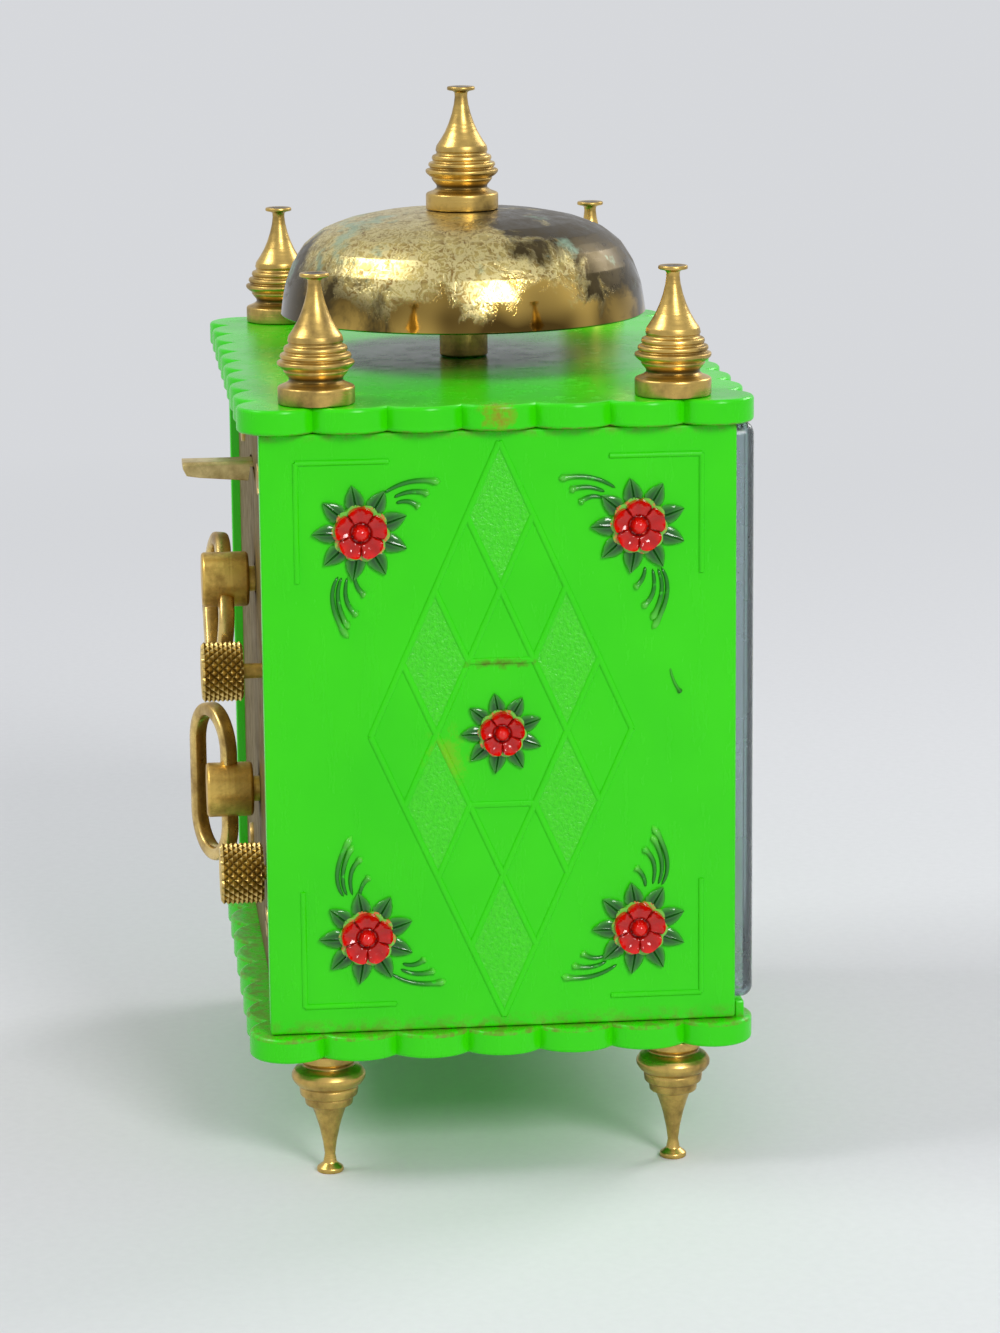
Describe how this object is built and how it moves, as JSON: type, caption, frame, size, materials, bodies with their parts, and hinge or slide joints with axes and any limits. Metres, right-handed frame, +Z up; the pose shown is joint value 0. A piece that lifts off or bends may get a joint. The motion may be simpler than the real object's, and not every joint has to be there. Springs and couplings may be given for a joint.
{
  "type": "wind-up alarm clock",
  "caption": "Wind-up alarm clock: scalloped green box case with flower relief, brass bell and finials on top, turned feet, folding winding keys and setting knobs at the back.",
  "frame": {"origin": "on the table under the middle of the clock's box", "axes": "+Z up, dial faces -Y, keys face +Y, +X is the clock's right side seen from the front"},
  "size_m": [0.075, 0.057, 0.1101],
  "materials": {
    "glossy_green_plastic": "glossy moulded plastic, with red and dark green painted flowers on the side panels",
    "bell_brass": "polished brass, dulled and spotted with age",
    "turned_brass": "turned and polished brass, worn",
    "sheet_brass": "rolled brass sheet, satin",
    "movement_brass": "plain stamped brass",
    "steel": "plain steel",
    "clear_acrylic": "clear acrylic, polished",
    "dial_enamel": "cream enamel",
    "black_lacquer": "black lacquer"
  },
  "bodies": {
    "case": {"bottom_plate": "glossy_green_plastic", "top_plate": "glossy_green_plastic", "left_side_panel": "glossy_green_plastic", "right_side_panel": "glossy_green_plastic", "back_plate": "sheet_brass", "dial_plate": "sheet_brass", "dial": "dial_enamel", "crystal": "clear_acrylic", "bell": "bell_brass", "bell_post": "turned_brass", "bell_finial": "turned_brass", "movement_front_plate": "movement_brass", "movement_rear_plate": "movement_brass", "balance_cock": "movement_brass", "hairspring": "steel", "tie_rod_front_left": "steel", "tie_rod_front_right": "steel", "tie_rod_rear_left": "steel", "tie_rod_rear_right": "steel", "finial_front_left": "turned_brass", "finial_front_right": "turned_brass", "finial_rear_left": "turned_brass", "finial_rear_right": "turned_brass", "foot_front_left": "turned_brass", "foot_front_right": "turned_brass", "foot_rear_left": "turned_brass", "foot_rear_right": "turned_brass", "movement_pillar_lower_left": "steel", "movement_pillar_lower_right": "steel", "movement_pillar_upper_left": "steel", "movement_pillar_upper_right": "steel"},
    "time_key": {"time_key_hub": "turned_brass"},
    "time_key_ring": {"time_key_ring": "turned_brass"},
    "alarm_key": {"alarm_key_hub": "turned_brass"},
    "alarm_key_ring": {"alarm_key_ring": "turned_brass"},
    "hand_set_knob": {"hand_set_knob": "turned_brass"},
    "alarm_set_knob": {"alarm_set_knob": "turned_brass"},
    "stop_lever": {"stop_lever": "sheet_brass"},
    "time_click": {"time_click": "steel"},
    "alarm_click": {"alarm_click": "steel"},
    "time_barrel": {"time_barrel": "movement_brass", "time_mainspring": "steel"},
    "alarm_barrel": {"alarm_barrel": "movement_brass", "alarm_mainspring": "steel"},
    "centre_wheel": {"centre_wheel": "movement_brass"},
    "third_wheel": {"third_wheel": "movement_brass"},
    "escape_wheel": {"escape_wheel": "movement_brass"},
    "pallet_lever": {"pallet_lever": "steel"},
    "balance_wheel": {"balance_wheel": "movement_brass"},
    "alarm_strike_wheel": {"alarm_strike_wheel": "movement_brass"},
    "hammer": {"hammer": "steel"},
    "minute_hand": {"cannon_pinion": "movement_brass", "minute_hand": "black_lacquer"},
    "minute_wheel": {"minute_wheel": "movement_brass"},
    "hour_hand": {"hour_wheel": "movement_brass", "hour_hand": "black_lacquer"},
    "alarm_hand": {"alarm_wheel": "movement_brass", "alarm_hand": "black_lacquer"}
  },
  "joints": [
    {"name": "centre_wheel_turn", "type": "hinge", "parent": "case", "child": "centre_wheel", "pos_m": [0, -0.00228, 0.04715], "axis": [0, 1, 0], "continuous": true},
    {"name": "time_barrel_turn", "type": "hinge", "parent": "case", "child": "time_barrel", "pos_m": [0, -0.00228, 0.0334], "axis": [0, 1, 0], "continuous": true},
    {"name": "third_wheel_turn", "type": "hinge", "parent": "case", "child": "third_wheel", "pos_m": [0.00886, -0.00228, 0.04559], "axis": [0, 1, 0], "continuous": true},
    {"name": "escape_wheel_turn", "type": "hinge", "parent": "case", "child": "escape_wheel", "pos_m": [0.01407, -0.00228, 0.03938], "axis": [0, 1, 0], "continuous": true},
    {"name": "minute_hand_turn", "type": "hinge", "parent": "case", "child": "minute_hand", "pos_m": [0, -0.00228, 0.04715], "axis": [0, 1, 0], "continuous": true},
    {"name": "minute_wheel_turn", "type": "hinge", "parent": "case", "child": "minute_wheel", "pos_m": [-0.00639, -0.00228, 0.037], "axis": [0, 1, 0], "continuous": true},
    {"name": "hour_hand_turn", "type": "hinge", "parent": "case", "child": "hour_hand", "pos_m": [0, -0.00228, 0.04715], "axis": [0, 1, 0], "continuous": true},
    {"name": "hand_set_knob_turn", "type": "hinge", "parent": "case", "child": "hand_set_knob", "pos_m": [-0.0136, 0.02363, 0.0274], "axis": [0, 1, 0], "continuous": true},
    {"name": "alarm_hand_turn", "type": "hinge", "parent": "case", "child": "alarm_hand", "pos_m": [0, -0.00228, 0.04715], "axis": [0, 1, 0], "continuous": true},
    {"name": "alarm_set_knob_turn", "type": "hinge", "parent": "case", "child": "alarm_set_knob", "pos_m": [-0.0136, 0.02523, 0.0496], "axis": [0, 1, 0], "continuous": true},
    {"name": "alarm_barrel_turn", "type": "hinge", "parent": "case", "child": "alarm_barrel", "pos_m": [0, -0.00228, 0.057], "axis": [0, 1, 0], "continuous": true},
    {"name": "alarm_strike_wheel_turn", "type": "hinge", "parent": "case", "child": "alarm_strike_wheel", "pos_m": [0.00886, -0.00228, 0.05544], "axis": [0, 1, 0], "continuous": true},
    {"name": "time_key_wind", "type": "hinge", "parent": "case", "child": "time_key", "pos_m": [0, 0.02423, 0.0334], "axis": [0, 1, 0], "continuous": true},
    {"name": "alarm_key_wind", "type": "hinge", "parent": "case", "child": "alarm_key", "pos_m": [0, 0.02423, 0.057], "axis": [0, 1, 0], "continuous": true},
    {"name": "time_key_ring_fold", "type": "hinge", "parent": "time_key", "child": "time_key_ring", "pos_m": [0, 0.02423, 0.0334], "axis": [0, 0, 1], "range_deg": [-16, 154]},
    {"name": "alarm_key_ring_fold", "type": "hinge", "parent": "alarm_key", "child": "alarm_key_ring", "pos_m": [0, 0.02423, 0.057], "axis": [0.7771, 0, 0.6293], "range_deg": [-4, 166]},
    {"name": "stop_lever_swing", "type": "hinge", "parent": "case", "child": "stop_lever", "pos_m": [0, 0.01402, 0.0505], "axis": [0, 1, 0], "range_deg": [-11, 11]},
    {"name": "hammer_swing", "type": "hinge", "parent": "case", "child": "hammer", "pos_m": [0.0142, -0.00228, 0.0615], "axis": [0, 1, 0], "range_deg": [-2, 3.8]},
    {"name": "balance_wheel_swing", "type": "hinge", "parent": "case", "child": "balance_wheel", "pos_m": [0.00643, -0.01528, 0.02828], "axis": [0, 1, 0], "range_deg": [-120, 120]},
    {"name": "pallet_lever_rock", "type": "hinge", "parent": "case", "child": "pallet_lever", "pos_m": [0.0131, -0.01227, 0.03387], "axis": [0, 1, 0], "range_deg": [-5, 5]},
    {"name": "time_click_lift", "type": "hinge", "parent": "case", "child": "time_click", "pos_m": [0.00492, 0.01542, 0.03684], "axis": [0, 1, 0], "range_deg": [-12, 0], "stiffness_Nm_per_rad": 0.00002},
    {"name": "alarm_click_lift", "type": "hinge", "parent": "case", "child": "alarm_click", "pos_m": [0.00492, 0.01542, 0.06044], "axis": [0, 1, 0], "range_deg": [-12, 0], "stiffness_Nm_per_rad": 0.00002}
  ],
  "couplings": [
    {"joint": "time_barrel_turn", "follows": "centre_wheel_turn", "ratio": -0.2},
    {"joint": "third_wheel_turn", "follows": "centre_wheel_turn", "ratio": -5},
    {"joint": "escape_wheel_turn", "follows": "centre_wheel_turn", "ratio": 20},
    {"joint": "minute_hand_turn", "follows": "centre_wheel_turn", "ratio": 1},
    {"joint": "minute_wheel_turn", "follows": "centre_wheel_turn", "ratio": -0.33333},
    {"joint": "hour_hand_turn", "follows": "centre_wheel_turn", "ratio": 0.083333},
    {"joint": "hand_set_knob_turn", "follows": "centre_wheel_turn", "ratio": 1},
    {"joint": "alarm_set_knob_turn", "follows": "alarm_hand_turn", "ratio": -3},
    {"joint": "alarm_strike_wheel_turn", "follows": "alarm_barrel_turn", "ratio": -4},
    {"joint": "pallet_lever_rock", "follows": "balance_wheel_swing", "ratio": -0.041667}
  ]
}
